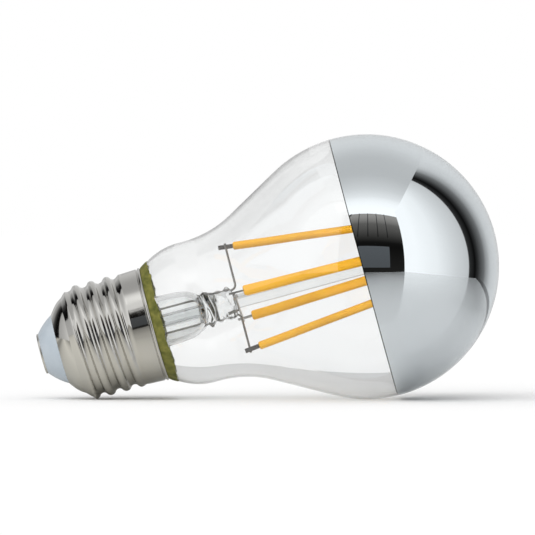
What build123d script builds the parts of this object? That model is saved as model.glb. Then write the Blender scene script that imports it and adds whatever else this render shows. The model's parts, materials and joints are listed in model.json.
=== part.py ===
from build123d import *

import os
from math import asin, atan2, cos, degrees, hypot, radians, sin, sqrt, tan

os.makedirs("parts", exist_ok=True)

# A clear LED filament lamp with a silvered crown and an E27 screw cap.
# It lies on its side: floor at z = 0, the crown towards +X, the cap towards -X and a little lower.
# Heights are measured along the lamp's own axis, from the outer face of the end contact.

# Driving dimensions, in millimetres and degrees

# E27 cap
cap_height = 26.5
thread_pitch = 3.629
thread_crest_diameter = 26.2
thread_depth = 0.85
thread_runout = 2.0
skirt_height = 4.5
skirt_step = 0.25
rim_flare = 0.2
shell_wall = 0.3
shell_hole_diameter = 16.0
shell_hole_height = 4.4
shoulder_slope = 45.0
lowest_crest_height = 9.5
rings_per_turn = 12

# Insulator and end contact
contact_diameter = 9.2
contact_thickness = 0.45
contact_edge_radius = 0.2
rivet_margin = 0.15
rivet_length = 2.6
insulator_collar = 1.4
insulator_bulge = 0.25

# Glass bulb
bulb_diameter = 60.0
flank_angle = 29.2
waist_radius = 24.0
neck_straight = 1.2
shoulder_radius = 15.0
shoulder_angle = 41.8
glass_wall = 0.8
seal_depth = 1.5

# Mirror coating and capping cement
mirror_edge_drop = 0.8
mirror_thickness = 0.08
cement_gap = 0.25
cement_depth = 3.0
cement_bead_height = 2.6
cement_bead_thickness = 0.3

# Glass stem, exhaust tube and support rod
flare_diameter = 11.6
flare_length = 11.2
stem_wall = 1.2
stem_dome_radius = 3.4
collar_diameter = 7.4
collar_height = 2.6
pinch_width = 7.0
pinch_thickness = 4.0
pinch_corner_radius = 1.6
pinch_length = 7.2
pinch_edge_radius = 0.5
exhaust_diameter = 3.0
exhaust_wall = 0.5
exhaust_length = 15.5
rod_diameter = 3.2
rod_socket_depth = 3.0
rod_overrun = 1.4
rod_end_radius = 0.65

# LED filaments
ring_turn = -14.6
filament_turns = (0.0, 94.6, 264.8, 180.0)
filament_radii = (12.8, 12.3, 12.3, 11.3)
filament_leans = (7.2, 6.3, 6.3, 5.8)
filament_rise = 2.7
filament_length = 33.0
filament_width = 2.25
filament_thickness = 1.8
filament_end_radius = 0.4
tab_length = 3.4
tab_width = 1.0
tab_thickness = 0.3
tab_seat = 1.2

# Wires
wire_diameter = 0.5
wire_bend_radius = 1.2
wire_overrun = 0.7
lead_spread = 2.8
lead_1_rise = 1.0
lead_2_rise = 0.5
bridge_rise = 0.5
bridge_gap = 0.2
bridge_anchor_depth = 2.4
upper_joint = 1.5

# Driver inside the cap
board_width = 16.0
board_thickness = 1.0
lead_lap = 2.6
capacitor_diameter = 6.3
capacitor_length = 8.0
capacitor_offset = 1.2
capacitor_edge_radius = 0.5
capacitor_groove_height = 1.3
capacitor_groove_width = 0.65
capacitor_groove_depth = 0.4
rectifier_size = (2.4, 3.8, 4.7)
rectifier_pin_pitch = 2.5
rectifier_pin_width = 0.7
chip_size = (1.5, 3.9, 4.9)
chip_pin_pitch = 1.27
chip_pin_width = 0.42
package_chamfer = 0.2
pin_thickness = 0.25
pin_reach = 0.9
component_gap = 0.4
resistor_diameter = 2.4
resistor_length = 6.0
resistor_end_radius = 0.4
resistor_leg = 0.9
resistor_standoff = 0.2
hook_up_diameter = 0.9
hook_up_clearance = 0.05
hook_up_lap = 4.0

# Radii and heights that follow from the driving dimensions

crest_radius = thread_crest_diameter / 2
root_radius = crest_radius - thread_depth
skirt_radius = crest_radius - skirt_step
rim_radius = skirt_radius + rim_flare
thread_top = cap_height - skirt_height
shell_hole_radius = shell_hole_diameter / 2
shoulder_growth = tan(radians(shoulder_slope))
thread_bottom = shell_hole_height + (root_radius - thread_depth - shell_hole_radius) / shoulder_growth

bulb_radius = bulb_diameter / 2
rim_glass_radius = rim_radius - shell_wall - cement_gap
neck_radius = rim_glass_radius + shoulder_radius * (1 - cos(radians(shoulder_angle)))
neck_height = cap_height + shoulder_radius * sin(radians(shoulder_angle))
seal_height = cap_height - seal_depth
waist_height = neck_height + neck_straight
waist_centre_radius = neck_radius + waist_radius
flank = radians(flank_angle)
sphere_height = waist_height + (bulb_radius + waist_radius - waist_centre_radius * cos(flank)) / sin(flank)
crown_height = sphere_height + bulb_radius
inner_radius = bulb_radius - glass_wall


def shoulder_glass_radius(height, inset=0.0):
    """Radius of the glass on its shoulder arc, at a height between the seal and the neck."""
    arc = shoulder_radius - inset
    return neck_radius - shoulder_radius + sqrt(arc**2 - (neck_height - height) ** 2)


flare_radius = flare_diameter / 2
flare_turn_radius = shoulder_glass_radius(seal_height, glass_wall) - flare_radius
dome_height = seal_height + flare_length
dome_centre_radius = flare_radius - stem_dome_radius
pinch_foot = dome_height + stem_dome_radius - stem_wall
pinch_top = pinch_foot + pinch_length

filament_foot = pinch_top + filament_rise
upper_joint_height = filament_foot + (filament_length + upper_joint) * cos(radians(max(filament_leans)))
tab_side = (tab_thickness + wire_diameter) / 2
bridge_offset = (rod_diameter + wire_diameter) / 2 + bridge_gap

board_foot = shell_hole_height + insulator_collar
live_lead_top = board_foot + hook_up_lap
capacitor_height = live_lead_top + component_gap + capacitor_diameter / 2
lead_lap_foot = capacitor_height + capacitor_diameter / 2 + component_gap
board_top = lead_lap_foot + lead_lap
board_face = board_thickness / 2
hook_up_side = board_face + hook_up_diameter / 2 + hook_up_clearance
rivet_radius = hook_up_side + hook_up_diameter / 2 + rivet_margin
rivet_top = contact_thickness + rivet_length

# The lamp rests on its crown's sphere and on the lowest crest of its thread

rest_length = sphere_height - lowest_crest_height
tilt = asin(bulb_radius / hypot(rest_length, crest_radius)) - atan2(crest_radius, rest_length)
contact_radius = contact_diameter / 2
lamp_reach = sphere_height * cos(tilt) + bulb_radius
contact_x = (contact_radius * sin(tilt) - lamp_reach) / 2
contact_z = bulb_radius - sphere_height * sin(tilt)

# Three planes: across the axis, through the axis, and across it in line with the filaments

axis_direction = (cos(tilt), 0, sin(tilt))
upward = (-sin(tilt), 0, cos(tilt))
lamp = Plane(origin=(contact_x, 0, contact_z), x_dir=upward, z_dir=axis_direction)
section = Plane(origin=lamp.origin, x_dir=lamp.x_dir, z_dir=-lamp.y_dir)
mount = Plane(lamp.location * Rotation(0, 0, ring_turn))
lamp_axis = Axis(lamp.origin, lamp.z_dir)


def save(piece, name):
    """Labels a finished piece and writes it."""
    piece.part.label = name
    export_step(piece.part, f"parts/{name}.step")


def bent_wire(plane, points, diameter, bend_radius):
    """A round wire along straight runs with rounded bends, given in a plane's own axes."""
    with BuildPart() as wire:
        with BuildLine(plane) as route:
            FilletPolyline(*points, radius=bend_radius)
        with BuildSketch(Plane(origin=route.line @ 0, z_dir=route.line % 0)):
            Circle(diameter / 2)
        sweep(path=route.line)
    return wire.part


# Screw shell: a thin rolled sleeve with a shoulder, a rounded right-hand thread and a plain skirt


def shoulder_cone(height, inset=0.0):
    """Radius of the shell's shoulder, or of its inside for an inset of one wall."""
    rise = (height - shell_hole_height) * shoulder_growth
    return shell_hole_radius + rise - inset / cos(radians(shoulder_slope))


def skirt_cone(height, inset=0.0):
    """Radius of the shell's plain skirt, which widens a little towards the rim."""
    return skirt_radius + rim_flare * (height - thread_top) / skirt_height - inset


def ring(height, radius, throw=0.0, turn=0.0):
    """A circle across the lamp's axis, its centre thrown out from the axis towards a turn."""
    with BuildSketch(lamp.offset(height)) as circle:
        with Locations((throw * cos(turn), throw * sin(turn))):
            Circle(radius)
    return circle.sketch


def thread_rings(inset):
    """Circles whose centres turn once about the axis in each pitch, which makes a rounded thread."""
    rings = []
    steps = round((thread_top - thread_bottom) / thread_pitch * rings_per_turn)
    for step in range(steps + 1):
        height = thread_bottom + (thread_top - thread_bottom) * step / steps
        run = min(1.0, (thread_top - height) / thread_runout)
        depth_share = run * run * (3 - 2 * run)
        crest = skirt_radius + (crest_radius - skirt_radius) * depth_share - inset
        root = skirt_radius + (root_radius - skirt_radius) * depth_share - inset
        crest = min(crest, shoulder_cone(height, inset))
        root = min(root, shoulder_cone(height, inset))
        turn = radians(180 + 360 * (height - lowest_crest_height) / thread_pitch)
        rings.append(ring(height, (crest + root) / 2, (crest - root) / 2, turn))
    return rings


def shell_skin(inset):
    """The shell's outside as three solid stretches, or its inside for an inset of one wall."""
    shoulder = [ring(height, shoulder_cone(height, inset)) for height in (shell_hole_height, thread_bottom)]
    skirt = [ring(height, skirt_cone(height, inset)) for height in (thread_top, cap_height)]
    return [loft(rings, mode=Mode.PRIVATE) for rings in (shoulder, thread_rings(inset), skirt)]


with BuildPart() as screw_shell:
    outside = shell_skin(0.0)
    inside = shell_skin(shell_wall)
    walls = []
    for stretch in outside + inside:
        walls += stretch.faces().filter_by(GeomType.PLANE, reverse=True)
    for end in (0, -1):
        outer_end = outside[end].faces().filter_by(GeomType.PLANE).sort_by(lamp_axis)[end]
        inner_end = inside[end].faces().filter_by(GeomType.PLANE).sort_by(lamp_axis)[end]
        walls.append(Face(outer_end.outer_wire(), [inner_end.outer_wire()]))
    add(Solid(Shell(walls)))
save(screw_shell, "screw_shell")

# End contact: a flat disc with a rivet that runs up into the insulator

with BuildPart() as end_contact:
    with BuildSketch(lamp):
        Circle(contact_radius)
    extrude(amount=contact_thickness)
    fillet(end_contact.edges().sort_by(lamp_axis)[0], contact_edge_radius)
    with BuildSketch(lamp.offset(contact_thickness)):
        Circle(rivet_radius)
    extrude(amount=rivet_length)
save(end_contact, "end_contact")

# Cap insulator: a moulded cone that seats on the shell's hole and grips it from inside

with BuildPart() as cap_insulator:
    hole_edge = shoulder_cone(shell_hole_height, shell_wall)
    with BuildSketch(section):
        with BuildLine():
            nose = (contact_radius, contact_thickness)
            brim = (shell_hole_radius, shell_hole_height)
            SagittaArc(nose, brim, -insulator_bulge)
            Polyline(
                brim,
                (hole_edge, shell_hole_height),
                (shoulder_cone(board_foot, shell_wall), board_foot),
                (rivet_radius, board_foot),
                (rivet_radius, contact_thickness),
                nose,
            )
        make_face()
    revolve(axis=lamp_axis)
save(cap_insulator, "cap_insulator")

# Glass bulb: crown sphere, straight flank, hollow waist, short neck and a shoulder that turns into the cap


def glass_edge(inset):
    """Draws one skin of the bulb from crown to seal: the outer one, or the inner one for an inset."""
    sphere = bulb_radius - inset
    waist = waist_radius + inset
    shoulder = shoulder_radius - inset
    seal_angle = degrees(asin((neck_height - seal_height) / shoulder))
    CenterArc((0, sphere_height), sphere, -flank_angle, 90 + flank_angle)
    Line(
        (sphere * cos(flank), sphere_height - sphere * sin(flank)),
        (waist_centre_radius - waist * cos(flank), waist_height + waist * sin(flank)),
    )
    CenterArc((waist_centre_radius, waist_height), waist, 180 - flank_angle, flank_angle)
    Line((neck_radius - inset, waist_height), (neck_radius - inset, neck_height))
    CenterArc((neck_radius - shoulder_radius, neck_height), shoulder, -seal_angle, seal_angle)


with BuildPart() as glass_bulb:
    with BuildSketch(section):
        with BuildLine():
            glass_edge(0.0)
            glass_edge(glass_wall)
            Line((0, crown_height - glass_wall), (0, crown_height))
            Line(
                (shoulder_glass_radius(seal_height, glass_wall), seal_height),
                (shoulder_glass_radius(seal_height), seal_height),
            )
        make_face()
    revolve(axis=lamp_axis)
save(glass_bulb, "glass_bulb")

# Mirror coating: a thin cup on the inside of the crown

with BuildPart() as mirror_coating:
    coat_radius = inner_radius - mirror_thickness
    outer_edge = degrees(asin(mirror_edge_drop / inner_radius))
    inner_edge = degrees(asin(mirror_edge_drop / coat_radius))
    edge_height = sphere_height - mirror_edge_drop
    with BuildSketch(section):
        with BuildLine():
            CenterArc((0, sphere_height), inner_radius, -outer_edge, 90 + outer_edge)
            CenterArc((0, sphere_height), coat_radius, -inner_edge, 90 + inner_edge)
            Line((0, sphere_height + coat_radius), (0, sphere_height + inner_radius))
            Line(
                (coat_radius * cos(radians(inner_edge)), edge_height),
                (inner_radius * cos(radians(outer_edge)), edge_height),
            )
        make_face()
    revolve(axis=lamp_axis)
save(mirror_coating, "mirror_coating")

# Capping cement: fills the skirt round the seal and stands out as a bead on the glass above the rim

with BuildPart() as capping_cement:
    cement_foot = cap_height - cement_depth
    bead_top = cap_height + cement_bead_height
    seal_radius = shoulder_glass_radius(seal_height)
    bead_top_angle = degrees(asin((neck_height - bead_top) / shoulder_radius))
    seal_angle = degrees(asin((neck_height - seal_height) / shoulder_radius))
    rim_bore = skirt_cone(cap_height, shell_wall)
    with BuildSketch(section):
        with BuildLine():
            glass_side = CenterArc(
                (neck_radius - shoulder_radius, neck_height),
                shoulder_radius,
                -seal_angle,
                seal_angle - bead_top_angle,
            )
            bead_foot = (rim_bore + cement_bead_thickness / 2, cap_height)
            Polyline(
                (seal_radius, seal_height),
                (seal_radius, cement_foot),
                (skirt_cone(cement_foot, shell_wall), cement_foot),
                (rim_bore, cap_height),
                bead_foot,
            )
            SagittaArc(bead_foot, glass_side @ 1, -cement_bead_thickness)
        make_face()
    revolve(axis=lamp_axis)
save(capping_cement, "capping_cement")

# Wires of the filament mount


def wire_end(filament, height):
    """Radius at which a wire ends, a little past the line of a filament's tab at a height."""
    lean = radians(filament_leans[filament])
    return filament_radii[filament] - (height - filament_foot) * tan(lean) + wire_overrun


def mount_point(turn, radius, height, aside=0.0):
    """A point in the mount's axes from its turn and radius, set aside from that radius towards larger turns."""
    angle = radians(turn)
    return (radius * cos(angle) - aside * sin(angle), radius * sin(angle) + aside * cos(angle), height)


lead_wires = []
for filament, rise in ((0, lead_1_rise), (3, lead_2_rise)):
    joint_height = pinch_top + rise
    lap = board_face + wire_diameter / 2
    lead_wires.append(
        bent_wire(
            Plane(mount.location * Rotation(0, 0, filament_turns[filament])),
            [
                (lap, tab_side, lead_lap_foot),
                (lap, tab_side, board_top + wire_bend_radius),
                (lead_spread, tab_side, seal_height - stem_wall),
                (lead_spread, tab_side, joint_height),
                (wire_end(filament, joint_height), tab_side, joint_height),
            ],
            wire_diameter,
            wire_bend_radius,
        )
    )

for number, wire in enumerate(lead_wires, start=1):
    with BuildPart() as lead_wire:
        add(wire)
    save(lead_wire, f"lead_wire_{number}")

with BuildPart() as lower_bridge_wire:
    bridge_height = pinch_top + bridge_rise
    tab_2 = mount_point(filament_turns[1], wire_end(1, bridge_height), bridge_height, tab_side)
    beside_rod = (-bridge_offset, 0, bridge_height)
    tab_3 = mount_point(filament_turns[2], wire_end(2, bridge_height), bridge_height, -tab_side)
    add(bent_wire(mount, [tab_2, beside_rod, tab_3], wire_diameter, wire_bend_radius))
    with BuildSketch(mount.offset(pinch_top - bridge_anchor_depth)):
        with Locations((-bridge_offset, 0)):
            Circle(wire_diameter / 2)
    extrude(amount=bridge_anchor_depth + bridge_rise)
save(lower_bridge_wire, "lower_bridge_wire")

upper_bridges = []
for first, second in ((0, 1), (3, 2)):
    start = filament_turns[first]
    stop = filament_turns[second]
    corner_radius = tab_side / sin(radians(stop - start) / 2)
    upper_bridges.append(
        bent_wire(
            mount,
            [
                mount_point(start, wire_end(first, upper_joint_height), upper_joint_height, tab_side),
                mount_point((start + stop) / 2, corner_radius, upper_joint_height),
                mount_point(stop, wire_end(second, upper_joint_height), upper_joint_height, -tab_side),
            ],
            wire_diameter,
            wire_diameter,
        )
    )

for number, wire in enumerate(upper_bridges, start=1):
    with BuildPart() as upper_bridge_wire:
        add(wire)
    save(upper_bridge_wire, f"upper_bridge_wire_{number}")

# Support rod: stands in the pinch and holds the upper bridge wires in its rounded top

with BuildPart() as support_rod:
    with BuildSketch(lamp.offset(pinch_top - rod_socket_depth)):
        Circle(rod_diameter / 2)
    extrude(amount=upper_joint_height + rod_overrun - pinch_top + rod_socket_depth)
    fillet(support_rod.edges().sort_by(lamp_axis)[-1], rod_end_radius)
    for wire in upper_bridges:
        add(wire, mode=Mode.SUBTRACT)
save(support_rod, "support_rod")

# Glass stem: a flared tube sealed to the bulb, domed over with a thick collar and pressed flat round the wires

with BuildPart() as glass_stem:
    bore = flare_radius - stem_wall
    turn_centre = (flare_radius + flare_turn_radius, seal_height + flare_turn_radius)
    with BuildSketch(section):
        with BuildLine():
            Line((seal_radius, seal_height), (turn_centre[0], seal_height))
            CenterArc(turn_centre, flare_turn_radius, 180, 90)
            Line((flare_radius, turn_centre[1]), (flare_radius, dome_height))
            CenterArc((dome_centre_radius, dome_height), stem_dome_radius, 0, 90)
            Polyline(
                (dome_centre_radius, dome_height + stem_dome_radius),
                (0, dome_height + stem_dome_radius),
                (0, pinch_foot),
                (dome_centre_radius, pinch_foot),
            )
            CenterArc((dome_centre_radius, dome_height), stem_dome_radius - stem_wall, 0, 90)
            Line((bore, dome_height), (bore, turn_centre[1]))
            CenterArc(turn_centre, flare_turn_radius + stem_wall, 180, 90)
            Polyline(
                (turn_centre[0], seal_height - stem_wall),
                (seal_radius, seal_height - stem_wall),
                (seal_radius, seal_height),
            )
        make_face()
    revolve(axis=lamp_axis)
    with BuildSketch(mount.offset(pinch_foot)):
        RectangleRounded(pinch_width, pinch_thickness, pinch_corner_radius)
    extrude(amount=pinch_length)
    fillet(glass_stem.edges().group_by(lamp_axis)[-1], pinch_edge_radius)
    collar_round = collar_height / 2
    collar_flat = collar_diameter / 2 - collar_round
    with BuildSketch(section):
        with BuildLine():
            CenterArc((collar_flat, pinch_foot + collar_round), collar_round, -90, 180)
            Polyline(
                (collar_flat, pinch_foot + collar_height),
                (0, pinch_foot + collar_height),
                (0, pinch_foot),
                (collar_flat, pinch_foot),
            )
        make_face()
    revolve(axis=lamp_axis)
    for wire in lead_wires:
        add(wire, mode=Mode.SUBTRACT)
    add(lower_bridge_wire.part, mode=Mode.SUBTRACT)
    add(support_rod.part, mode=Mode.SUBTRACT)
save(glass_stem, "glass_stem")

# Exhaust tube: hangs from the stem's dome and is melted shut at its lower end

with BuildPart() as exhaust_tube:
    exhaust_radius = exhaust_diameter / 2
    exhaust_bore = exhaust_radius - exhaust_wall
    tip_centre = pinch_foot - exhaust_length + exhaust_radius
    with BuildSketch(section):
        with BuildLine():
            Line((exhaust_bore, pinch_foot), (exhaust_radius, pinch_foot))
            Line((exhaust_radius, pinch_foot), (exhaust_radius, tip_centre))
            CenterArc((0, tip_centre), exhaust_radius, -90, 90)
            Line((0, tip_centre - exhaust_radius), (0, tip_centre - exhaust_bore))
            CenterArc((0, tip_centre), exhaust_bore, -90, 90)
            Line((exhaust_bore, tip_centre), (exhaust_bore, pinch_foot))
        make_face()
    revolve(axis=lamp_axis)
save(exhaust_tube, "exhaust_tube")

# LED filaments: oval phosphor rods that lean towards the axis, each with a flat metal tab in either end

filament_places = zip(filament_turns, filament_radii, filament_leans)
for number, (turn, radius, lean) in enumerate(filament_places, start=1):
    spoke = mount.location * Rotation(0, 0, turn)
    foot = Plane(spoke * Pos(radius, 0, filament_foot) * Rotation(0, -lean, 0))
    with BuildPart() as lower_tab:
        with BuildSketch(foot.offset(-tab_length)):
            Rectangle(tab_width, tab_thickness)
        extrude(amount=tab_length + tab_seat)
    save(lower_tab, f"filament_{number}_lower_tab")
    with BuildPart() as upper_tab:
        with BuildSketch(foot.offset(filament_length - tab_seat)):
            Rectangle(tab_width, tab_thickness)
        extrude(amount=tab_seat + tab_length)
    save(upper_tab, f"filament_{number}_upper_tab")
    with BuildPart() as filament:
        with BuildSketch(foot):
            Ellipse(filament_thickness / 2, filament_width / 2)
        extrude(amount=filament_length)
        fillet(filament.edges().filter_by(GeomType.ELLIPSE), filament_end_radius)
        add(lower_tab.part, mode=Mode.SUBTRACT)
        add(upper_tab.part, mode=Mode.SUBTRACT)
    save(filament, f"filament_{number}")

# Driver board: stands on the insulator, across the pinch's wide side, with parts on both faces

front = Plane(origin=mount.from_local_coords((board_face, 0, 0)), x_dir=mount.y_dir, z_dir=mount.x_dir)
back = Plane(origin=mount.from_local_coords((-board_face, 0, 0)), x_dir=-mount.y_dir, z_dir=-mount.x_dir)
lap_edge = tab_side + wire_diameter / 2 + component_gap
board_middle = (board_foot + board_top) / 2

with BuildPart() as driver_board:
    with BuildSketch(mount.offset(board_foot)):
        Rectangle(board_thickness, board_width)
    extrude(amount=board_top - board_foot)
save(driver_board, "driver_board")

with BuildPart() as smoothing_capacitor:
    capacitor_place = (capacitor_offset, capacitor_height)
    with BuildSketch(back):
        with Locations(capacitor_place):
            Circle(capacitor_diameter / 2)
    extrude(amount=capacitor_length)
    fillet(smoothing_capacitor.edges().group_by(Axis(back.origin, back.z_dir))[-1], capacitor_edge_radius)
    with BuildSketch(back.offset(capacitor_groove_height)):
        with Locations(capacitor_place):
            Circle(capacitor_diameter / 2)
            Circle(capacitor_diameter / 2 - capacitor_groove_depth, mode=Mode.SUBTRACT)
    extrude(amount=capacitor_groove_width, mode=Mode.SUBTRACT)
save(smoothing_capacitor, "smoothing_capacitor")


def chip_package(place, size, pins_per_side, pin_pitch, pin_width):
    """A moulded package on the board's front, with flat pins that reach out to both sides of it."""
    thickness, width, height = size
    with BuildPart() as package:
        with BuildSketch(front):
            with Locations(place):
                Rectangle(width, height)
        extrude(amount=thickness)
        chamfer(package.edges().group_by(Axis(front.origin, front.z_dir))[-1], package_chamfer)
        with BuildSketch(front):
            with Locations(place):
                with GridLocations(0, pin_pitch, 1, pins_per_side):
                    Rectangle(width + 2 * pin_reach, pin_width)
        extrude(amount=pin_thickness)
    return package.part


with BuildPart() as bridge_rectifier:
    rectifier_place = (lap_edge + pin_reach + rectifier_size[1] / 2, board_middle)
    add(chip_package(rectifier_place, rectifier_size, 2, rectifier_pin_pitch, rectifier_pin_width))
save(bridge_rectifier, "bridge_rectifier")

with BuildPart() as driver_chip:
    chip_place = (-component_gap - pin_reach - chip_size[1] / 2, board_middle)
    add(chip_package(chip_place, chip_size, 4, chip_pin_pitch, chip_pin_width))
save(driver_chip, "driver_chip")

with BuildPart() as fuse_resistor:
    resistor_x = capacitor_offset + (capacitor_diameter + resistor_diameter) / 2 + component_gap
    resistor_z = resistor_standoff + resistor_diameter / 2
    resistor_foot = board_middle - resistor_length / 2
    resistor_head = board_middle + resistor_length / 2
    body = Plane(origin=back.from_local_coords((resistor_x, resistor_foot, resistor_z)), z_dir=mount.z_dir)
    with BuildSketch(body):
        Circle(resistor_diameter / 2)
    extrude(amount=resistor_length)
    fillet(fuse_resistor.edges().filter_by(GeomType.CIRCLE), resistor_end_radius)
    for end, outward in ((resistor_foot, -1), (resistor_head, 1)):
        bend = end + outward * resistor_leg
        leg = [(resistor_x, end, resistor_z), (resistor_x, bend, resistor_z), (resistor_x, bend, 0)]
        add(bent_wire(back, leg, wire_diameter, wire_diameter))
save(fuse_resistor, "fuse_resistor")

with BuildPart() as live_lead:
    with BuildSketch(mount.offset(rivet_top)):
        with Locations((-hook_up_side, 0)):
            Circle(hook_up_diameter / 2)
    extrude(amount=live_lead_top - rivet_top)
save(live_lead, "live_lead")

with BuildPart() as neutral_lead:
    lead_y = board_width / 2 - hook_up_diameter
    wall_reach = skirt_radius - shell_wall - hook_up_diameter / 2 - hook_up_clearance
    wall_y = sqrt(wall_reach**2 - hook_up_side**2)
    wall_foot = thread_top + hook_up_diameter / 2
    add(
        bent_wire(
            mount,
            [
                (hook_up_side, lead_y, board_top - hook_up_lap),
                (hook_up_side, lead_y, board_top + hook_up_diameter),
                (hook_up_side, wall_y, wall_foot),
                (hook_up_side, wall_y, cap_height - cement_depth),
            ],
            hook_up_diameter,
            hook_up_diameter / 2,
        )
    )
save(neutral_lead, "neutral_lead")
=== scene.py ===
import json
from math import asin, atan, cos, pi, radians, sin, sqrt

import bmesh
import bpy
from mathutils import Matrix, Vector


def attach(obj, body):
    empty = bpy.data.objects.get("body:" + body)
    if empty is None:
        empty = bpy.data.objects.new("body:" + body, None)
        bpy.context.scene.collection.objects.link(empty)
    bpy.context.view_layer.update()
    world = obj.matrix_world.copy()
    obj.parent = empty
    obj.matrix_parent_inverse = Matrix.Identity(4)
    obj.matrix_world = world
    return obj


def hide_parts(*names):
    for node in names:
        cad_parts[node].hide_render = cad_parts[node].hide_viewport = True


# A clear LED filament lamp with a silvered crown, lying on its side on a white floor inside a light tent

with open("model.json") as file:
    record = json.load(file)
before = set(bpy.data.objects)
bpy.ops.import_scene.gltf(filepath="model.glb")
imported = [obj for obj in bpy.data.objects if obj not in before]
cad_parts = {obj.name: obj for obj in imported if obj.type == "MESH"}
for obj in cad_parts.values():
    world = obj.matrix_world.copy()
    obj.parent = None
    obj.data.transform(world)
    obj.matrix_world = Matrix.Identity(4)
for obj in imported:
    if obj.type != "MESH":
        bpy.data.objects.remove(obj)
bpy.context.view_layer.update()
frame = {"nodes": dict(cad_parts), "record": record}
nodes = frame["nodes"]
subparts = frame["record"]["subparts"]

# The lamp's own axes: along it from contact to crown, up from it, and out of it towards the camera

MM = 0.001
contact_mount = next(mount for mount in frame["record"]["mounts"] if mount["name"] == "end_contact")
lamp_foot = Vector(contact_mount["pos_m"])
along = -Vector(contact_mount["axis"])
towards = Vector((0, -1, 0))
upward = towards.cross(along)

# Sizes of the glass and its mirror in millimetres, measured along the axis from the end contact

cap_height = 26.5
rim_glass_radius = 12.5
bulb_radius = 30.0
flank = radians(29.2)
waist_radius = 24.0
neck_straight = 1.2
shoulder_radius = 15.0
shoulder_angle = radians(41.8)
glass_wall = 0.45
seal_depth = 1.5
mirror_edge_drop = 0.8
mirror_bond = 0.02
mirror_thickness = 0.06
mirror_line = 0.22

# Sizes of the screw shell and its thread

crest_radius = 13.1
thread_depth = 1.0
thread_pitch = 3.629
thread_runout = 2.0
lowest_crest_height = 9.5
skirt_height = 4.5
skirt_radius = 12.85
rim_flare = 0.2
lip_height = 0.55
lip_rise = 0.12
groove_height = 0.35
groove_depth = 0.2
shell_wall = 0.3
shell_hole_radius = 8.0
shell_hole_height = 4.4
shoulder_bulge = 0.4

# Sizes of the glass stem, its pinch and its rod

flare_radius = 5.8
flare_start = 0.1
stem_wall = 1.2
stem_overlap = 0.6
pinch_foot = 38.6
pinch_rise = 2.6
pinch_thickness_share = 0.57
pinch_squareness = 3.2
pinch_turn = radians(-14.6)
lump_foot = 37.0
lump_rise = 2.0
lump_share = 0.06
rod_radius = 1.6
rod_foot = 45.3
rod_top = 83.9
rod_end_radius = 0.65

# Sizes of the cement and of its bead on the glass above the rim

cement_depth = 3.0
bead_height = 2.6
bead_thickness = 0.4
bead_bite = 0.1
bead_mean = 0.72
bead_lean = 0.16
bead_raggedness = 0.04

# How finely the pieces are divided

weld_distance = MM * 1e-4
crease = radians(35)
round_segments = 192
shell_segments = 300
rod_segments = 64
cement_segments = 360
sphere_steps = 96
bend_steps = 24
film_steps = 72
flare_steps = 16
stem_steps = 8
rod_end_steps = 8
thread_rings = 210
skirt_rings = 12
rim_rings = 30
inside_rings = 60
bead_rings = 12

# Heights and radii that follow from those sizes

thread_top = cap_height - skirt_height
groove_foot = cap_height - lip_height - groove_height
root_radius = crest_radius - thread_depth
thread_bottom = shell_hole_height + root_radius - thread_depth - shell_hole_radius
thread_round = (thread_pitch**2 / 4 + thread_depth**2) / (4 * thread_depth)
neck_radius = rim_glass_radius + shoulder_radius * (1 - cos(shoulder_angle))
neck_height = cap_height + shoulder_radius * sin(shoulder_angle)
seal_height = cap_height - seal_depth
waist_height = neck_height + neck_straight
waist_centre = neck_radius + waist_radius
sphere_height = waist_height + (bulb_radius + waist_radius - waist_centre * cos(flank)) / sin(flank)
inner_radius = bulb_radius - glass_wall


def lamp_point(height, radius, turn):
    """A point in the frame from its height and radius on the lamp and its turn from the upper side."""
    return lamp_foot + MM * (height * along + radius * (cos(turn) * upward + sin(turn) * towards))


def new_object(name, content):
    """Links a mesh, a light or a camera into the scene under a name."""
    made = bpy.data.objects.new(name, content)
    bpy.context.scene.collection.objects.link(made)
    return made


def round_place(radius, height, turn):
    """Where a point of a plain turned profile lies at a turn: the same all round."""
    return radius, height


def revolved(name, profile, place=round_place, segments=round_segments):
    """A closed solid from a loop of points carried round the axis, where place gives radius and height."""
    mesh = bmesh.new()
    rings = []
    for point in profile:
        ring = []
        for step in range(segments):
            turn = 2 * pi * step / segments
            radius, height = place(*point, turn)
            ring.append(mesh.verts.new(lamp_point(height, radius, turn)))
        rings.append(ring)
    for ring, after in zip(rings, rings[1:] + rings[:1]):
        for step in range(segments):
            other = (step + 1) % segments
            mesh.faces.new((ring[step], ring[other], after[other], after[step]))
    bmesh.ops.remove_doubles(mesh, verts=mesh.verts, dist=weld_distance)
    bmesh.ops.dissolve_degenerate(mesh, edges=mesh.edges, dist=weld_distance)
    bmesh.ops.recalc_face_normals(mesh, faces=mesh.faces)
    content = bpy.data.meshes.new(name)
    mesh.to_mesh(content)
    mesh.free()
    content.shade_smooth()
    content.set_sharp_from_angle(angle=crease)
    return new_object(name, content)


def spaced(low, high, steps):
    """Evenly spaced numbers, both ends included."""
    return [low + (high - low) * step / steps for step in range(steps + 1)]


def arc(centre, radius, start, stop, steps):
    """Points of a circular arc in the (radius, height) plane, both ends included."""
    angles = spaced(start, stop, steps)
    return [(centre[0] + radius * cos(angle), centre[1] + radius * sin(angle)) for angle in angles]


def smooth_step(share):
    """A share that leaves 0 and reaches 1 without a corner."""
    share = min(1.0, max(0.0, share))
    return share * share * (3 - 2 * share)


# Materials: the noise that makes them uneven, the haze it leaves, and the mirror's dark line as shares

noise_start = 0.3
glass_noise_stop = 0.8
glass_noise_detail = 2.0
metal_noise_stop = 0.75
metal_noise_detail = 4.0
dull_noise_stop = 0.7
dull_noise_detail = 5.0
glass_noise_scale = 900.0
glass_haze = 0.012
glass_index = 1.5
mirror_noise_scale = 60.0
mirror_haze = 0.01
mirror_line_end = 0.35
mirror_line_fade = 0.6


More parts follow.
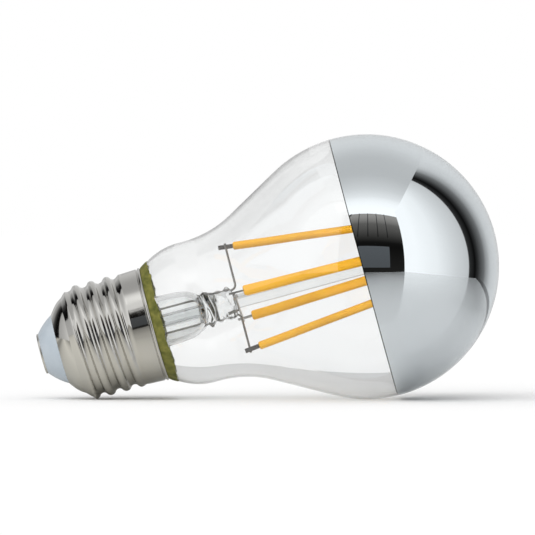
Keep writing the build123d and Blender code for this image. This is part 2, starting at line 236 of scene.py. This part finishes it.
class Shader:
    """A node material with a Principled surface, and short ways to add nodes and join them."""

    def __init__(self, name, colour, roughness, metallic=0.0):
        self.material = bpy.data.materials.new(name)
        self.material.use_nodes = True
        self.tree = self.material.node_tree
        self.surface = self.tree.nodes["Principled BSDF"]
        self.output = self.tree.nodes["Material Output"]
        self.set(self.surface, **{"Base Color": (*colour, 1), "Roughness": roughness, "Metallic": metallic})

    def set(self, node, **values):
        """Sets inputs of a node by their names."""
        for socket, value in values.items():
            node.inputs[socket].default_value = value
        return node

    def add(self, kind, **values):
        """Adds a node and sets its inputs."""
        return self.set(self.tree.nodes.new(kind), **values)

    def join(self, source, target):
        """Joins an output to an input."""
        self.tree.links.new(source, target)

    def place(self):
        """The object's own coordinates, in metres."""
        return self.add("ShaderNodeTexCoord").outputs["Object"]

    def axis(self, name):
        """One of the object's own coordinates, in metres."""
        split = self.add("ShaderNodeSeparateXYZ")
        self.join(self.place(), split.inputs["Vector"])
        return split.outputs[name]

    def path(self, name):
        """What the ray that meets the surface has been through."""
        return self.add("ShaderNodeLightPath").outputs[name]

    def noise(self, scale, detail):
        """Noise fixed to the object's own coordinates, whose scale is in waves per metre."""
        texture = self.add("ShaderNodeTexNoise", Scale=scale, Detail=detail)
        self.join(self.place(), texture.inputs["Vector"])
        return texture.outputs["Fac"]

    def share(self, source, low, high, most=1.0):
        """A number that rises from 0 to its most as a value goes from low to high."""
        node = self.add("ShaderNodeMapRange", **{"From Min": low, "From Max": high, "To Max": most})
        self.join(source, node.inputs["Value"])
        return node.outputs["Result"]

    def combine(self, operation, *sources):
        """The result of a mathematical operation on values."""
        node = self.add("ShaderNodeMath")
        node.operation = operation
        for source, socket in zip(sources, node.inputs):
            self.join(source, socket)
        return node.outputs["Value"]

    def ramp(self, source, *stops):
        """A colour ramp on a value, from (place, colour) stops."""
        node = self.add("ShaderNodeValToRGB")
        elements = node.color_ramp.elements
        while len(elements) < len(stops):
            elements.new(0.5)
        for element, (place, colour) in zip(elements, stops):
            element.position = place
            element.color = (*colour, 1)
        self.join(source, node.inputs["Fac"])
        return node.outputs["Color"]

    def mix(self, share, first, second):
        """One colour, then another as a value rises to 1."""
        node = self.add("ShaderNodeMix")
        node.data_type = "RGBA"
        self.join(share, node.inputs["Factor"])
        sockets = [socket for socket in node.inputs if socket.type == "RGBA"]
        for socket, colour in zip(sockets, (first, second)):
            self.join(colour, socket)
        return next(socket for socket in node.outputs if socket.type == "RGBA")

    def wander(self, scale, detail, stop, low, high):
        """Roughness that wanders over the surface from a low level to a high one."""
        source = self.noise(scale, detail)
        levels = self.ramp(source, (noise_start, (low,) * 3), (stop, (high,) * 3))
        self.join(levels, self.surface.inputs["Roughness"])

    def bump(self, source, distance):
        """Small relief on the surface, in metres."""
        node = self.add("ShaderNodeBump", Distance=distance)
        self.join(source, node.inputs["Height"])
        self.join(node.outputs["Normal"], self.surface.inputs["Normal"])

    def show(self, share, first, second):
        """Shows one surface, then another as a value rises to 1."""
        node = self.add("ShaderNodeMixShader")
        self.join(share, node.inputs["Fac"])
        self.join(first, node.inputs[1])
        self.join(second, node.inputs[2])
        self.join(node.outputs["Shader"], self.output.inputs["Surface"])


def clear_glass(name, colour):
    """Clear glass that lets the light of the lamps pass, so that what is inside it isn't in the dark."""
    shader = Shader(name, colour, 0.0)
    shader.set(shader.surface, **{"Transmission Weight": 1.0, "IOR": glass_index})
    shader.wander(glass_noise_scale, glass_noise_detail, glass_noise_stop, 0.0, glass_haze)
    passing = shader.add("ShaderNodeBsdfTransparent", Color=(*colour, 1))
    lighting = shader.combine("MAXIMUM", shader.path("Is Shadow Ray"), shader.path("Is Diffuse Ray"))
    shader.show(lighting, shader.surface.outputs["BSDF"], passing.outputs["BSDF"])
    return shader.material


def metal(name, colour, low, high, scale):
    """Metal whose roughness wanders a little over the surface."""
    shader = Shader(name, colour, low, 1.0)
    shader.wander(scale, metal_noise_detail, metal_noise_stop, low, high)
    return shader.material


def mottled(name, dark, light, roughness, scale, relief=0.0):
    """A dull material whose colour wanders between two tones."""
    shader = Shader(name, dark, roughness)
    grain = shader.noise(scale, dull_noise_detail)
    colours = shader.ramp(grain, (noise_start, dark), (dull_noise_stop, light))
    shader.join(colours, shader.surface.inputs["Base Color"])
    if relief:
        shader.bump(grain, relief)
    return shader.material


def silvering(name, bright, dark):
    """Mirror film whose last stretch towards its edge is a dark line."""
    shader = Shader(name, bright, 0.0, 1.0)
    height = shader.add("ShaderNodeVectorMath")
    height.operation = "DOT_PRODUCT"
    height.inputs[1].default_value = along
    shader.join(shader.place(), height.inputs[0])
    edge = lamp_foot.dot(along) + MM * (sphere_height - mirror_edge_drop)
    past_edge = shader.share(height.outputs["Value"], edge, edge + 2 * MM * mirror_line)
    stops = (0.0, dark), (mirror_line_end, dark), (mirror_line_fade, bright)
    shader.join(shader.ramp(past_edge, *stops), shader.surface.inputs["Base Color"])
    shader.wander(mirror_noise_scale, metal_noise_detail, metal_noise_stop, 0.0, mirror_haze)
    return shader.material


materials = {
    "nickel_plate": metal("nickel_plate", (0.60, 0.592, 0.567), 0.06, 0.11, 400.0),
    "contact_metal": metal("contact_metal", (0.60, 0.59, 0.56), 0.25, 0.40, 900.0),
    "insulator": mottled("insulator", (0.40, 0.455, 0.505), (0.45, 0.50, 0.545), 0.35, 300.0),
    "bulb_glass": clear_glass("bulb_glass", (0.985, 0.99, 0.99)),
    "silvering": silvering("silvering", (0.88, 0.93, 0.96), (0.08, 0.08, 0.08)),
    "cement": mottled("cement", (0.070, 0.080, 0.006), (0.200, 0.190, 0.035), 0.75, 700.0, 0.0002),
    "stem_glass": clear_glass("stem_glass", (0.97, 0.98, 0.98)),
    "mount_wire": metal("mount_wire", (0.42, 0.40, 0.38), 0.25, 0.40, 1500.0),
    "phosphor": mottled("phosphor", (0.93, 0.44, 0.006), (0.97, 0.505, 0.014), 0.6, 500.0),
    "tab_metal": metal("tab_metal", (0.40, 0.38, 0.36), 0.25, 0.40, 1500.0),
    "circuit_board": mottled("circuit_board", (0.03, 0.16, 0.06), (0.05, 0.22, 0.09), 0.45, 600.0),
    "capacitor_can": metal("capacitor_can", (0.62, 0.63, 0.65), 0.25, 0.35, 800.0),
    "black_moulding": mottled("black_moulding", (0.02, 0.02, 0.02), (0.04, 0.04, 0.04), 0.5, 900.0),
    "resistor_lacquer": mottled("resistor_lacquer", (0.30, 0.19, 0.09), (0.40, 0.28, 0.15), 0.4, 900.0),
    "red_insulation": mottled("red_insulation", (0.42, 0.03, 0.02), (0.50, 0.05, 0.04), 0.4, 900.0),
    "white_insulation": mottled("white_insulation", (0.70, 0.69, 0.65), (0.78, 0.77, 0.73), 0.4, 900.0),
}


def dress(piece, slot):
    """Gives a piece the material of a slot of the record."""
    piece.data.materials.clear()
    piece.data.materials.append(materials[slot])


def stand_in(piece, node, slot):
    """Puts a finer piece in the place of a node."""
    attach(piece, "root")
    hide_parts(node)
    dress(piece, slot)


for subpart in subparts:
    dress(nodes[subpart["node"]], subpart["material_slot"])

# Glass bulb and the silver film on the inside of its crown


def glass_skin(inset):
    """One skin of the bulb from crown to seal: the outer one, or the inner one for an inset."""
    sphere = bulb_radius - inset
    waist = waist_radius + inset
    shoulder = shoulder_radius - inset
    seal = asin((neck_height - seal_height) / shoulder)
    return (
        arc((0, sphere_height), sphere, pi / 2, -flank, sphere_steps)
        + arc((waist_centre, waist_height), waist, pi - flank, pi, bend_steps)
        + arc((neck_radius - shoulder_radius, neck_height), shoulder, 0, -seal, bend_steps)
    )


bulb_skin = revolved("bulb_skin", glass_skin(0.0) + glass_skin(glass_wall)[::-1])
stand_in(bulb_skin, "glass_bulb", "bulb_glass")

film_outside = inner_radius + mirror_bond
film_inside = inner_radius - mirror_thickness
edge_angle = -asin(mirror_edge_drop / inner_radius)
mirror_film = revolved(
    "mirror_film",
    arc((0, sphere_height), film_outside, pi / 2, edge_angle, film_steps)
    + arc((0, sphere_height), film_inside, edge_angle, pi / 2, film_steps),
)
stand_in(mirror_film, "mirror_coating", "silvering")

# Screw shell: a rounded shoulder, a rolled thread with round crests and roots, and a skirt with a lip


def shoulder_reach(height):
    """Radius of the shell's shoulder, a cone with a little belly."""
    share = (height - shell_hole_height) / (thread_bottom - shell_hole_height)
    belly = shoulder_bulge * max(0.0, 4 * share * (1 - share))
    return shell_hole_radius + height - shell_hole_height + belly


def thread_share(shift):
    """How far the thread stands out, from 0 at its root to 1 at its crest, at a distance from the crest."""
    bend = min(shift, thread_pitch / 2 - shift)
    change = (thread_round - sqrt(thread_round**2 - bend**2)) / thread_depth
    return 1 - change if shift < thread_pitch / 4 else change


def skirt_reach(height):
    """Radius of the skirt, which ends in a groove and a small rolled lip."""
    reach = skirt_radius + rim_flare * (height - thread_top) / skirt_height
    below_rim = cap_height - height
    if below_rim < lip_height:
        return reach + lip_rise * sin(pi * below_rim / lip_height)
    if below_rim < lip_height + groove_height:
        return reach - groove_depth * sin(pi * (below_rim - lip_height) / groove_height)
    return reach


def shell_place(inset, height, turn):
    """A point of the shell's outside, or of its inside for an inset of one wall."""
    if height >= thread_top:
        return skirt_reach(height) - inset, height
    depth = smooth_step((thread_top - height) / thread_runout)
    limit = shoulder_reach(height)
    crest = min(limit, skirt_radius + (crest_radius - skirt_radius) * depth)
    root = min(limit, skirt_radius + (root_radius - skirt_radius) * depth)
    phase = (height - lowest_crest_height) / thread_pitch + 0.5 - turn / (2 * pi)
    shift = thread_pitch * abs((phase + 0.5) % 1.0 - 0.5)
    return root + (crest - root) * thread_share(shift) - inset, height


shell_outside = (
    spaced(shell_hole_height, thread_top, thread_rings)
    + spaced(thread_top, groove_foot, skirt_rings)[1:]
    + spaced(groove_foot, cap_height, rim_rings)[1:]
)
shell_inside = spaced(cap_height, shell_hole_height, inside_rings)
shell_skin = revolved(
    "shell_skin",
    [(0.0, height) for height in shell_outside] + [(shell_wall, height) for height in shell_inside],
    shell_place,
    shell_segments,
)
stand_in(shell_skin, "screw_shell", "nickel_plate")

# Glass stem: a flared tube that closes in a thick ring and a lumpy pinch, which the wires run through

flare_turn = sqrt((shoulder_radius - glass_wall) ** 2 - (neck_height - seal_height) ** 2)
flare_turn += neck_radius - shoulder_radius - flare_radius
flare_foot = seal_height + flare_turn
flare_centre = (flare_radius + flare_turn, flare_foot)
stem_rim = flare_centre[0] + stem_overlap

# Stations of the stem's outside and of its hollow, as radius and height

stem_outline = [
    (flare_radius, flare_foot + flare_start), (5.7, 32.0), (5.3, 34.8), (4.4, 36.9), (3.6, 38.2),
    (3.95, 39.3), (3.5, 40.6), (3.3, 41.8), (3.5, 43.4), (3.4, 44.8), (2.6, 45.5), (0.0, 45.7),
]
stem_hollow = [
    (0.0, 38.2), (1.8, 37.7), (3.1, 36.6), (4.1, 34.8), (4.5, 32.0),
    (flare_radius - stem_wall, flare_foot + flare_start),
]

# The lumps of the pinch, as waves with a size, a count round the axis, a climb along it and a start

stem_lumps = ((1.0, 2, 2.3, 0.0), (0.7, 3, -3.1, 1.0))


def rounded(before, start, stop, after, share):
    """A number between two others on a rounded line, whose slopes come from their neighbours."""
    bend = 2 * before - 5 * start + 4 * stop - after
    twist = 3 * (start - stop) + after - before
    return start + 0.5 * share * (stop - before + share * (bend + share * twist))


def smooth_line(points, steps):
    """A rounded line through a few points."""
    ends = [points[0]] + points + [points[-1]]
    line = []
    for four in zip(ends, ends[1:], ends[2:], ends[3:]):
        for step in range(steps):
            line.append(tuple(rounded(*numbers, step / steps) for numbers in zip(*four)))
    return line + [points[-1]]


def stem_place(radius, height, turn):
    """A point of the stem, round at its foot and pressed flat and lumpy at its pinch."""
    pressed = smooth_step((height - pinch_foot) / pinch_rise)
    share = 1 - (1 - pinch_thickness_share) * pressed
    power = 2 + (pinch_squareness - 2) * pressed
    across = abs(cos(turn - pinch_turn)) ** power + (abs(sin(turn - pinch_turn)) / share) ** power
    lumps = sum(
        size * sin(count * turn + climb * height + start) for size, count, climb, start in stem_lumps
    )
    swell = 1 + lump_share * smooth_step((height - lump_foot) / lump_rise) * lumps
    return radius * across ** (-1 / power) * swell, height


stem_outside = arc(flare_centre, flare_turn, -pi / 2, -pi, flare_steps)
stem_outside += smooth_line(stem_outline, stem_steps)
stem_inside = smooth_line(stem_hollow, stem_steps)
stem_inside += arc(flare_centre, flare_turn + stem_wall, -pi, -pi / 2, flare_steps)
stem_skin = revolved(
    "stem_skin",
    [(stem_rim, seal_height)] + stem_outside + stem_inside + [(stem_rim, seal_height - stem_wall)],
    stem_place,
)
stand_in(stem_skin, "glass_stem", "stem_glass")

rod_end_centre = (rod_radius - rod_end_radius, rod_top - rod_end_radius)
rod_skin = revolved(
    "rod_skin",
    [(0.0, rod_foot), (rod_radius, rod_foot)]
    + arc(rod_end_centre, rod_end_radius, 0, pi / 2, rod_end_steps)
    + [(0.0, rod_top)],
    segments=rod_segments,
)
stand_in(rod_skin, "support_rod", "stem_glass")

# Capping cement: a bead whose edge on the glass is ragged, from waves with a size, a count and a start

bead_waves = ((1.0, 3, 0.4), (1.0, 8, 2.1), (0.8, 19, 1.0), (0.6, 37, 0.0))


def bead_reach(turn):
    """How far the bead climbs the glass at a turn."""
    waves = sum(size * sin(count * turn + start) for size, count, start in bead_waves)
    return bead_height * (bead_mean + bead_lean * sin(turn) + bead_raggedness * waves)


def cement_place(side, share, turn):
    """A point of the cement: on the glass for side 0, and on its outside for side 1."""
    height = cap_height + share * (bead_reach(turn) if share > 0 else cement_depth)
    below_neck = neck_height - max(height, seal_height)
    glass = neck_radius - shoulder_radius + sqrt(shoulder_radius**2 - below_neck**2)
    if side == 0:
        return glass - bead_bite, height
    if share <= 0:
        return skirt_reach(cap_height) - shell_wall, height
    return glass + bead_thickness * sqrt(1 - share), height


cement_shares = [-1.0, -0.4] + spaced(0.0, 1.0, bead_rings)
cement_skin = revolved(
    "cement_skin",
    [(1, share) for share in cement_shares] + [(0, share) for share in cement_shares[-2::-1]],
    cement_place,
    cement_segments,
)
stand_in(cement_skin, "capping_cement", "cement")

# Stage: a white floor, a glossy table and the cards of a light tent that mirrors show, in metres

floor_reach = 4.0
tent_half_width = 0.275
tent_height = 0.56
tent_front = 0.43
tent_fold = 0.45
tent_back = 3.0
wall_foot = -0.4
card_gap = 0.004
opening_left = 0.19
opening_top = 0.49
panel_right = 0.155
panel_foot = 0.03
panel_top = 0.17
beam_width = 0.006
beam_foot = 0.24
beam_places = (-0.20, -0.13, -0.06, 0.01, 0.08, 0.15)
softbox_right = -0.135
softbox_back = -0.11
table_edge = 0.115
table_lift = 0.00001
table_near = 0.03
table_far = 0.10
table_sheen = 0.45
table_roughness = 0.09
cap_left = -0.028
cap_right = -0.012
plain_tint = (1.0, 1.0, 1.0)
front_tint = (1.06, 1.0, 0.94)
panel_tint = (0.94, 1.0, 1.07)
cap_tint = (1.02, 1.0, 0.93)

middle = (lamp_foot + MM * sphere_height * along).x
left = middle - tent_half_width
right = middle + tent_half_width
opening = middle - opening_left
front = -tent_front
before_front = front + card_gap
panel_edge = middle + panel_right
softbox_height = tent_height - card_gap


def stage_plane(name, corners):
    """A flat four-cornered stage piece."""
    mesh = bpy.data.meshes.new(name)
    mesh.from_pydata(corners, [], [(0, 1, 2, 3)])
    made = new_object(name, mesh)
    return made


def for_mirrors(made):
    """Hides a stage piece from the camera and from soft light, so that only mirrors and glass show it."""
    made.visible_camera = False
    made.visible_diffuse = False
    made.visible_shadow = False


def tones(shader, axis_name, tint, *stops):
    """A tinted grey that changes along one axis of the stage, from (place, level) stops in metres."""
    low = stops[0][0]
    high = stops[-1][0]
    colours = [((spot - low) / (high - low), tuple(level * part for part in tint)) for spot, level in stops]
    return shader.ramp(shader.share(shader.axis(axis_name), low, high), *colours)


def card(name, corners, axis_name, tint, *stops, through_glass=False):
    """A glowing card that mirrors show, shaded along one axis, and that is seen through glass or isn't."""
    made = stage_plane(name, corners)
    shader = Shader(name, (0, 0, 0), 1.0)
    glow = shader.add("ShaderNodeEmission")
    shader.join(tones(shader, axis_name, tint, *stops), glow.inputs["Color"])
    if through_glass:
        shader.join(glow.outputs["Emission"], shader.output.inputs["Surface"])
    else:
        passing = shader.add("ShaderNodeBsdfTransparent")
        shader.show(shader.path("Glossy Depth"), passing.outputs["BSDF"], glow.outputs["Emission"])
    made.data.materials.append(shader.material)
    for_mirrors(made)


def upright(x_low, x_high, z_low, z_high, y):
    """Corners of a card that faces the front."""
    return [(x_low, y, z_low), (x_high, y, z_low), (x_high, y, z_high), (x_low, y, z_high)]


def sideways(x, y_low, y_high):
    """Corners of a card that faces sideways."""
    corners = (y_low, wall_foot), (y_high, wall_foot), (y_high, tent_height), (y_low, tent_height)
    return [(x, y, z) for y, z in corners]


def lying(x_low, x_high, y_low, y_high, z):
    """Corners of a level stage piece."""
    return [(x_low, y_low, z), (x_high, y_low, z), (x_high, y_high, z), (x_low, y_high, z)]


# The tent's front: a dark opening with beams and a panel in it, a bright lintel and a bright corner

card(
    "card_front", upright(opening, right, 0, opening_top, front), "Z", front_tint,
    (0.0, 0.014), (0.17, 0.005), (0.20, 0.007), (0.235, 0.028), (0.31, 0.08), (0.36, 0.11), (0.40, 0.20),
    (0.45, 0.28), (opening_top, 0.30),
)
card(
    "card_lintel", upright(opening, right, opening_top, tent_height, front), "Z", plain_tint,
    (opening_top, 1.12), (tent_height, 1.10),
)
card(
    "card_corner", upright(left, opening, 0, tent_height, front), "Z", plain_tint,
    (0.0, 1.0), (tent_height, 1.0),
)
card(
    "card_panel", upright(opening, panel_edge, panel_foot, panel_top, before_front), "Z", panel_tint,
    (0.0, 0.08), (panel_top, 0.10),
)
for number, beam in enumerate(beam_places):
    beam_left = middle + beam - beam_width / 2
    beam_corners = upright(beam_left, beam_left + beam_width, beam_foot, opening_top, before_front)
    card(f"card_beam_{number}", beam_corners, "Z", plain_tint, (beam_foot, 0.005), (opening_top, 0.06))

# The tent's sides and ceiling, which go on far behind the lamp, and a softbox at the front left

card(
    "card_left", sideways(left, front, tent_fold), "Y", plain_tint,
    (front, 1.05), (-0.29, 1.05), (-0.145, 0.93), (-0.04, 0.71), (0.056, 0.54), (0.06, 0.0), (0.12, 0.01),
    (0.17, 0.08), (0.22, 0.32), (tent_fold, 0.71), through_glass=True,
)
card(
    "card_right", sideways(right, front, tent_fold), "Y", plain_tint,
    (front, 1.05), (-0.29, 1.05), (-0.145, 0.93), (-0.045, 0.70), (0.032, 0.57), (0.034, 0.03),
    (0.075, 0.003), (0.10, 0.03), (0.14, 0.115), (0.16, 0.16), (0.185, 0.31), (0.216, 0.42),
    (0.255, 0.56), (0.305, 0.635), (tent_fold, 0.71), through_glass=True,
)
for name, side, far_tone in (("left", left, 0.60), ("right", right, 0.73)):
    card(
        f"card_{name}_back", sideways(side, tent_fold, tent_back), "Y", plain_tint,
        (tent_fold, 0.71), (0.6, far_tone), (tent_back, far_tone),
    )
card(
    "card_ceiling", lying(left, right, front, tent_fold, tent_height), "Y", plain_tint,
    (front, 1.11), (-0.375, 1.08), (-0.331, 1.03), (-0.293, 0.95), (-0.265, 0.85), (-0.21, 0.74),
    (-0.171, 0.67), (-0.11, 0.60), (-0.033, 0.53), (0.033, 0.52), (0.188, 0.54), (0.442, 0.67),
    (tent_fold, 0.68), through_glass=True,
)
card(
    "card_softbox", lying(left, softbox_right, front, softbox_back, softbox_height), "Y", plain_tint,
    (front, 1.35), (-0.331, 1.35), (-0.243, 1.2), (-0.188, 0.98), (-0.144, 0.76), (softbox_back, 0.60),
)
card(
    "card_ceiling_back", lying(left, right, tent_fold, tent_back, tent_height), "Y", plain_tint,
    (tent_fold, 0.68), (0.72, 0.73), (tent_back, 0.78),
)

# The floor that the camera sees, and the table with painted light and shade that mirrors and glass show in
# its place


def table_material():
    """White with painted light and shade below the lamp, beside it and at the cap, and with a sheen in
    mirrors.
    """
    shader = Shader("table", (1, 1, 1), table_roughness)
    # Painted light and shade: darker towards the front, and lighter right below the lamp where its shadow
    # falls.
    near_painted_shading = tones(
        shader, "Y", plain_tint,
        (front, 0.36), (-0.26, 0.45), (-0.10, 0.57), (-0.04, 0.66), (0.0, 0.84), (0.03, 0.96),
        (table_edge, 1.0),
    )
    # Painted shade beside the lamp, and a dark painted band past 0.085 m where the table seems to end.
    side_painted_shading = tones(
        shader, "Y", plain_tint,
        (front, 0.50), (-0.10, 0.66), (-0.03, 0.62), (0.0, 0.55), (0.03, 0.47), (0.081, 0.50),
        (0.085, 0.04), (table_edge, 0.06),
    )
    # Painted shade at the cap: darker towards the front, and a painted shadow just behind the cap.
    cap_painted_shading = tones(
        shader, "Y", cap_tint,
        (front, 0.25), (-0.20, 0.30), (-0.10, 0.38), (-0.05, 0.54), (-0.03, 0.74), (-0.015, 0.90),
        (0.0, 0.70), (0.015, 0.34), (0.03, 0.36), (0.05, 0.68), (table_edge, 0.64),
    )
    # Painted shade seen through the glass: darker behind the lamp.
    glass_painted_shading = tones(
        shader, "Y", plain_tint,
        (front, 0.95), (0.02, 0.95), (0.05, 0.74), (table_edge, 0.66),
    )
    aside = shader.axis("X")
    outward = shader.share(shader.combine("ABSOLUTE", aside), table_near, table_far)
    past_cap = shader.share(aside, cap_left, cap_right)
    mirrored = shader.path("Glossy Depth")
    mirrored_painted_shading = shader.mix(past_cap, cap_painted_shading, shader.mix(outward, near_painted_shading, side_painted_shading))
    shader.join(shader.mix(mirrored, glass_painted_shading, mirrored_painted_shading), shader.surface.inputs["Base Color"])
    sheen = shader.combine("MULTIPLY", shader.share(mirrored, 0.0, 1.0, table_sheen), past_cap)
    shader.join(sheen, shader.surface.inputs["Specular IOR Level"])
    return shader.material


floor = stage_plane("floor", lying(-floor_reach, floor_reach, -floor_reach, floor_reach, 0.0))
floor_shader = Shader("floor", (1, 1, 1), 1.0)
floor_shader.set(floor_shader.surface, **{"Specular IOR Level": 0.0})
floor.data.materials.append(floor_shader.material)
floor.visible_glossy = False
floor.visible_transmission = False

table = stage_plane("table", lying(-floor_reach, floor_reach, -floor_reach, table_edge, table_lift))
table.data.materials.append(table_material())
for_mirrors(table)

# Light: a white world, a little dimmer as a lamp than as a background, and a soft sun

room_light = 0.72
sun_strength = 1.45
sun_spread = radians(70)
sun_pitch = radians(45)
sun_roll = radians(-25)

world = bpy.data.worlds.new("white_room")
bpy.context.scene.world = world
world.use_nodes = True
background = world.node_tree.nodes["Background"]
background.inputs["Color"].default_value = (1, 1, 1, 1)
world_path = world.node_tree.nodes.new("ShaderNodeLightPath")
level = world.node_tree.nodes.new("ShaderNodeMapRange")
level.inputs["To Min"].default_value = 1.0
level.inputs["To Max"].default_value = room_light
world.node_tree.links.new(world_path.outputs["Is Diffuse Ray"], level.inputs["Value"])
world.node_tree.links.new(level.outputs["Result"], background.inputs["Strength"])

sun = bpy.data.lights.new("soft_sun", "SUN")
sun.energy = sun_strength
sun.angle = sun_spread
sun_lamp = new_object("soft_sun", sun)
sun_lamp.rotation_euler = (sun_pitch, sun_roll, 0)
sun_lamp.visible_glossy = False
sun_lamp.visible_transmission = False

# The light that the mirror throws back on the filaments' ends inside its cup, which only the filaments may
# block

bounce_rise = 12.0
bounce_distance = 250.0
bounce_radius = 26.0
bounce_power = 0.7
bounce_blend = 0.5

bounce = bpy.data.lights.new("mirror_bounce", "SPOT")
bounce.energy = bounce_power
bounce.spot_size = 2 * atan(bounce_radius / bounce_distance)
bounce.spot_blend = bounce_blend
bounce_lamp = new_object("mirror_bounce", bounce)
bounce_lamp.location = lamp_point(sphere_height + bounce_rise, bounce_distance, pi / 2)
bounce_lamp.rotation_euler = (-towards).to_track_quat("-Z", "Y").to_euler()
filaments = bpy.data.collections.new("filaments")
for subpart in subparts:
    if subpart["material_slot"] == "phosphor":
        filaments.objects.link(nodes[subpart["node"]])
bounce_lamp.light_linking.receiver_collection = filaments
bounce_lamp.light_linking.blocker_collection = filaments

# Camera: a long lens a little above the table

camera_distance = 1.6
camera_rise = radians(0.8)
camera_yaw = radians(0.9)
picture_width = 0.1211
sensor_width = 36.0
aim = Vector((0.0, 0.0, 0.0298))

lens = bpy.data.cameras.new("camera")
lens.sensor_width = sensor_width
lens.lens = sensor_width * camera_distance / picture_width
camera = new_object("camera", lens)
backward = Vector(
    (sin(camera_yaw) * cos(camera_rise), -cos(camera_yaw) * cos(camera_rise), sin(camera_rise))
)
camera.location = aim + camera_distance * backward
camera.rotation_euler = (-backward).to_track_quat("-Z", "Y").to_euler()
bpy.context.scene.camera = camera

bpy.context.scene.view_settings.view_transform = "Standard"
